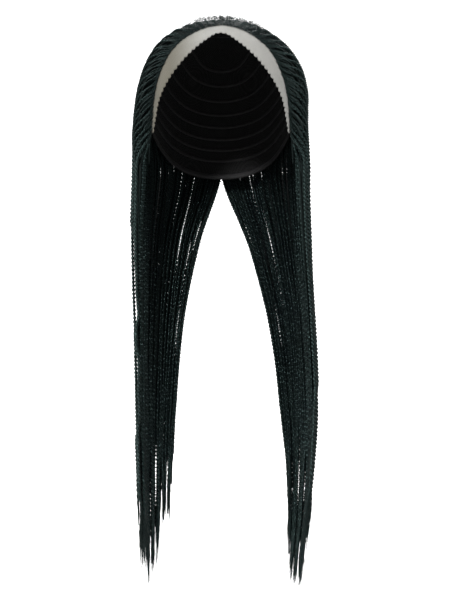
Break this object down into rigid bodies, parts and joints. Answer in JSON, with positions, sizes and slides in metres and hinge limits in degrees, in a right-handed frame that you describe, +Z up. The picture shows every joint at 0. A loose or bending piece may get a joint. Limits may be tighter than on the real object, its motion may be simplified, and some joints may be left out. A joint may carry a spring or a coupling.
{
  "type": "twist braid wig with lace front",
  "caption": "Long black wig of fine two-strand rope twists on a stretch cap, with a scalloped sheer lace band along the hairline, parted behind into two hanging sides.",
  "frame": {"origin": "inside of the cap at its top, where it sits on the crown of the head", "axes": "+Z up, -Y towards the face, +X towards the wearer's left"},
  "size_m": [0.1963, 0.1902, 0.5942],
  "materials": {
    "cap_net": "matt black stretch net",
    "front_lace": "sheer beige net with a pinked edge",
    "twisted_hair": "black synthetic fibre with a soft cool sheen, in two-strand rope twists"
  },
  "bodies": {
    "root": {"stretch_cap": "cap_net", "lace_front": "front_lace", "right_front_twists": "twisted_hair", "right_side_twists": "twisted_hair", "right_back_twists": "twisted_hair", "left_front_twists": "twisted_hair", "left_side_twists": "twisted_hair", "left_back_twists": "twisted_hair"}
  },
  "joints": []
}
